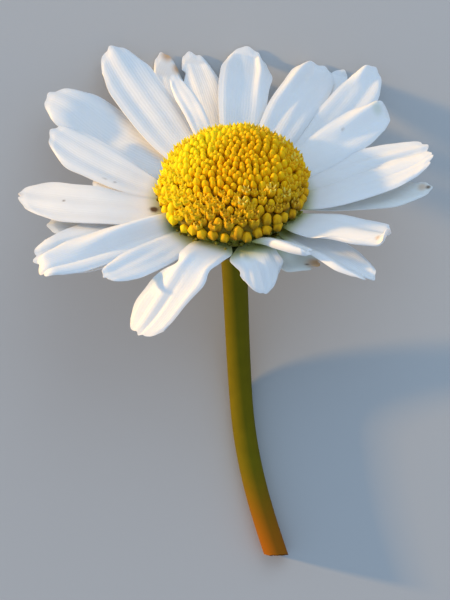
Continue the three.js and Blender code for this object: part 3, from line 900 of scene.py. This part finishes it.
def kindAt(spot, edge, closed):
    share, down, azimuth = spot
    backShare, backSine = disc["backFrom"]
    if edge < disc["budShare"]:
        return "bud"
    if hasPollen(down, azimuth):
        return "pollen"
    if share > disc["rimShare"] or (share > backShare and math.sin(azimuth) > backSine):
        return "tall"
    return "closed" if closed else "open"


def domeFlorets(models):
    copies = []
    for index in range(disc["florets"]):
        spot = floretPlace(index)
        share, down, azimuth = spot
        edge = share + random.uniform(-disc["budEdge"], disc["budEdge"])
        edge -= disc["budBack"] * math.sin(azimuth)
        closed = random.random() < disc["closedShare"]
        if math.sin(azimuth) < disc["frontBelow"] and math.degrees(down) > disc["frontAngle"]:
            continue
        name = kindAt(spot, edge, closed)
        kind = disc["kinds"][name]
        size = spacing(share) * kind["size"] * random.uniform(*disc["sizeRange"])
        copies.append(placeFloret(models[name], spot, size, kind["lift"]))
    return copies


def rimFlorets(model):
    copies = []
    for index in range(disc["rimFlorets"]):
        along = disc["rimFrom"] + disc["rimSweep"] * index / (disc["rimFlorets"] - 1)
        azimuth = math.radians(along + random.uniform(-disc["rimRagged"], disc["rimRagged"]))
        spot = (1, math.radians(random.uniform(*disc["rimAngle"])), azimuth)
        copies.append(placeFloret(model, spot, random.uniform(*disc["rimSize"]), disc["rimLift"]))
    return copies


def makeDisc():
    models = {name: makeFloret(kind) for name, kind in disc["kinds"].items()}
    copies = domeFlorets(models) + rimFlorets(models["rim"])
    core = makeCore()
    joinTo(core, copies + [makeScale(index) for index in range(disc["scale"]["count"])])
    for model in models.values():
        bpy.data.objects.remove(model)
    smoothShade(core, disc["smoothAngle"])
    settle(core, "disc", ["disc_florets"], discFinish())


makeDisc()
print("disc made")


# Green cup under the head
cup = {
    "top": -1.4,
    "radius": 6.9,
    "bottom": -5.0,
    "stemRadius": 1.45,
    "roundness": 0.8,  # under 1, the cup is fuller near the stem
    "sides": 64,
    "profile": [0.03, 0.08, 0.15, 0.25, 0.35, 0.47, 0.6, 0.72, 0.85, 1.0],
    "root": 0.8,  # painted shade: how dark it is between the bracts
    "smoothAngle": 50,
    "bract": {
        "rows": 3, "inRow": 17, "grid": (6, 8),
        "start": 0.05,  # where the lowest row begins
        "rowStep": 0.17,
        "length": 0.55,  # share of the cup's height
        "width": 1.25,
        "widthRange": (0.25, 0.72),  # start and length of its outline in half a sine wave
        "widthPower": 0.7,
        "thickness": 0.14,
        "lift": 0.14, "tipLift": 0.3, "tipLiftPower": 3, "arch": 0.2,
        "over": 3.0,  # rise of a tip past the cup's rim
        "browned": (0.75, 1),
        # painted shade at a bract's foot, under the row above: along, where it begins to fade and is gone
        "rootShade": (0.3, 0.8),
    },
    "look": {
        "greens": ((0.10, 0.14, 0.03), (0.20, 0.25, 0.06)),
        # the colour of the painted shade between and under the bracts
        "root": (0.045, 0.07, 0.015),
        "margin": (0.30, 0.21, 0.09), "marginRange": (0.62, 0.95),
        "grainScale": 1500, "bumpDistance": 0.00005, "bump": 0.5,
        "roughness": 0.65, "specular": 0.3,
    },
}


def cupOutside(share):
    bulge = math.sin(share * math.pi / 2) ** cup["roundness"]
    return mix(cup["stemRadius"], cup["radius"], bulge)


def cupFinish():
    look = cup["look"]
    finish = Finish("involucre")
    grain = finish.noise(look["grainScale"], 4)
    margin = finish.clamp(*look["marginRange"], finish.attribute("tone"))
    colour = finish.mixed(grain, *look["greens"])
    # painted shade between and under the bracts
    colour = finish.mixed(finish.attribute("root"), colour, look["root"])
    colour = finish.mixed(margin, colour, look["margin"])
    return finish.dressed(look, colour, grain)


def makeBract(row, azimuth):
    bract = cup["bract"]
    piece = makeGrid(*bract["grid"])
    tone = []
    root = []
    begins, takes = bract["widthRange"]
    for vertex in piece.data.vertices:
        across = vertex.co.x
        along = (vertex.co.y + 1) / 2
        reached = bract["start"] + bract["rowStep"] * row + bract["length"] * along
        share = min(reached, 1)
        width = bract["width"] * math.sin(math.pi * (begins + takes * along)) ** bract["widthPower"]
        radius = cupOutside(share) + bract["lift"] + bract["tipLift"] * along ** bract["tipLiftPower"]
        radius -= bract["arch"] * across**2 * (1 - along / 2)
        local = outwardAt(azimuth) * radius + sidewaysAt(azimuth) * across * width
        local.z = mix(cup["bottom"], cup["top"], share) + max(reached - 1, 0) * bract["over"]
        vertex.co = toWorld(local) * mm
        tone.append(max(abs(across), smooth(*bract["browned"], along)))
        # painted shade, darkest at the foot
        root.append(1 - smooth(*bract["rootShade"], along))
    setFloats(piece, {"tone": tone, "root": root})
    thicken(piece, bract["thickness"], -1)
    applyAll(piece)
    return piece


def makeBowl():
    deselect()
    bpy.ops.mesh.primitive_circle_add(vertices=cup["sides"], radius=cup["stemRadius"], fill_type="NGON")
    bowl = bpy.context.object
    editAll()
    bpy.ops.transform.translate(value=(0, 0, cup["bottom"]))
    before = 0
    for share in cup["profile"]:
        rise = (share - before) * (cup["top"] - cup["bottom"])
        extrude(rise, cupOutside(share) / cupOutside(before))
        before = share
    bpy.ops.object.mode_set(mode="OBJECT")
    for vertex in bowl.data.vertices:
        vertex.co = toWorld(vertex.co) * mm
    # the bowl shows only between the bracts and is darkened there with painted shade
    setFloats(bowl, {"tone": 0.0, "root": cup["root"]})
    return bowl


def makeCup():
    bract = cup["bract"]
    bowl = makeBowl()
    bracts = []
    for row in range(bract["rows"]):
        for index in range(bract["inRow"]):
            bracts.append(makeBract(row, (index + row / 2) / bract["inRow"] * math.tau))
    joinTo(bowl, bracts)
    smoothShade(bowl, cup["smoothAngle"])
    settle(bowl, "involucre_bracts", ["involucre"], cupFinish())


makeCup()
print("involucre made")


# Stem, from the cup down to the surface and along it
stem = {
    "topRadius": 1.45,
    "radius": 1.32,
    "top": -5.3,  # along the head's axis
    "bend": -9,  # where it begins to bow
    "aside": 0.25,  # how far it leaves the head's axis to the left
    "touch": (1.9, -12),  # where it comes down to the surface
    "touchHeading": (0.08, -1),
    "end": (5.8, -29),
    "endHeading": (0.343, -1),
    "topHandle": 1.2,
    "handle": 6,
    "endHandle": 0.4,
    "overrun": 1.5,  # drawn past its end, for a square cut
    "cutY": -29.2,
    "steps": 32,
    "roundSteps": 16,
    "merge": 0.005,
    "smoothAngle": 50,
    "look": {
        "greens": ((0.115, 0.095, 0.002), (0.17, 0.135, 0.003)),
        "end": (0.30, 0.095, 0.004),
        "endRange": (-0.018, -0.0295),  # y where the rusty end begins and is full
        "grainScale": 500, "bumpDistance": 0.00008, "bump": 0.5,
        "roughness": 0.6, "specular": 0.06,
    },
}


def stemKnots():
    # each with its place, heading and handles
    down = headTurn @ Vector((0, 0, -1))
    aside = Vector((stem["aside"], 0, 0))
    start = head["centre"] - down * stem["top"] - aside
    bend = head["centre"] - down * stem["bend"] - aside
    touch = Vector((*stem["touch"], stem["radius"]))
    end = Vector((*stem["end"], stem["radius"]))
    touchHeading = Vector((*stem["touchHeading"], 0))
    endHeading = Vector((*stem["endHeading"], 0))
    return [
        (start, down, stem["topHandle"], stem["topHandle"]),
        (bend, down, stem["topHandle"], stem["handle"]),
        (touch, touchHeading, stem["handle"], stem["handle"]),
        (end, endHeading, stem["handle"], stem["endHandle"]),
        (end + endHeading * stem["overrun"], endHeading, stem["endHandle"], stem["endHandle"]),
    ]


def drawStemLine():
    knots = stemKnots()
    bpy.ops.curve.primitive_bezier_curve_add()
    line = bpy.context.object
    line.data.dimensions = "3D"
    line.data.resolution_u = stem["steps"]
    points = line.data.splines[0].bezier_points
    points.add(len(knots) - len(points))
    for knot, (place, heading, before, after) in zip(points, knots):
        knot.handle_left_type = "FREE"
        knot.handle_right_type = "FREE"
        knot.co = place * mm
        knot.handle_left = (place - heading * before) * mm
        knot.handle_right = (place + heading * after) * mm
        knot.radius = 1
    for knot in points[:2]:
        knot.radius = stem["topRadius"] / stem["radius"]
    line.data.bevel_depth = stem["radius"] * mm
    line.data.bevel_resolution = stem["roundSteps"]
    line.data.use_fill_caps = True
    bpy.ops.object.convert(target="MESH")
    return bpy.context.object


def makeStem():
    deselect()
    piece = drawStemLine()
    editAll()
    bpy.ops.mesh.remove_doubles(threshold=stem["merge"] * mm)
    bpy.ops.mesh.bisect(
        plane_co=(0, stem["cutY"] * mm, 0), plane_no=(0, -1, 0), use_fill=True, clear_outer=True
    )
    bpy.ops.mesh.select_all(action="SELECT")
    bpy.ops.mesh.normals_make_consistent(inside=False)
    bpy.ops.object.mode_set(mode="OBJECT")
    settle(piece, "stem_bare", ["stem"], stemFinish())
    smoothShade(piece, stem["smoothAngle"])


def stemFinish():
    look = stem["look"]
    finish = Finish("stem")
    grain = finish.noise(look["grainScale"], 4)
    end = finish.clamp(*look["endRange"], finish.along("Object", "Y"))
    colour = finish.mixed(grain, *look["greens"])
    colour = finish.mixed(end, colour, look["end"])
    return finish.dressed(look, colour, grain)


makeStem()
print("stem made")


# Floor and light: a low warm key, a cool soft sky and a cool room
stage = {
    "size": 3000,
    "sunk": 0.05,  # under the flower, so that their faces don't meet
    "grey": 0.46,
    "roughness": 0.8,
}
light = {
    "aim": (0, 8, 14),
    "room": (0.58, 0.76, 1.0),
    "roomStrength": 0.72,
    "lamps": {
        "key": {"from": (-0.958, 0.225, 0.16), "away": 2500, "size": 150, "power": 84,
                "colour": (1.0, 0.60, 0.17)},
        "sky": {"from": (0.2, 0.6, 0.75), "away": 400, "size": 300, "power": 0.4,
                "colour": (0.66, 0.84, 1.0)},
    },
}


def makeStage():
    deselect()
    bpy.ops.mesh.primitive_plane_add(size=stage["size"] * mm, location=(0, 0, -stage["sunk"] * mm))
    floor = bpy.context.object
    floor.name = "floor"
    colour = (stage["grey"], stage["grey"], stage["grey"], 1)
    finish = Finish("floor")
    floor.data.materials.append(finish.surface({"Base Color": colour, "Roughness": stage["roughness"]}))


def makeLamp(name, values):
    towards = Vector(values["from"]).normalized()
    place = Vector(light["aim"]) + towards * values["away"]
    deselect()
    bpy.ops.object.light_add(type="AREA", location=place * mm)
    lamp = bpy.context.object
    lamp.name = name
    lamp.rotation_mode = "QUATERNION"
    lamp.rotation_quaternion = towards.to_track_quat("Z", "Y")
    lamp.data.size = values["size"] * mm
    lamp.data.energy = values["power"]
    lamp.data.color = values["colour"]


def makeLight():
    for name, values in light["lamps"].items():
        makeLamp(name, values)
    world = bpy.data.worlds.new("room")
    bpy.context.scene.world = world
    world.use_nodes = True
    shade = world.node_tree.nodes["Background"]
    shade.inputs["Color"].default_value = (*light["room"], 1)
    shade.inputs["Strength"].default_value = light["roomStrength"]


makeStage()
makeLight()
bpy.context.scene.view_settings.view_transform = "Standard"
print("stage and light ready")
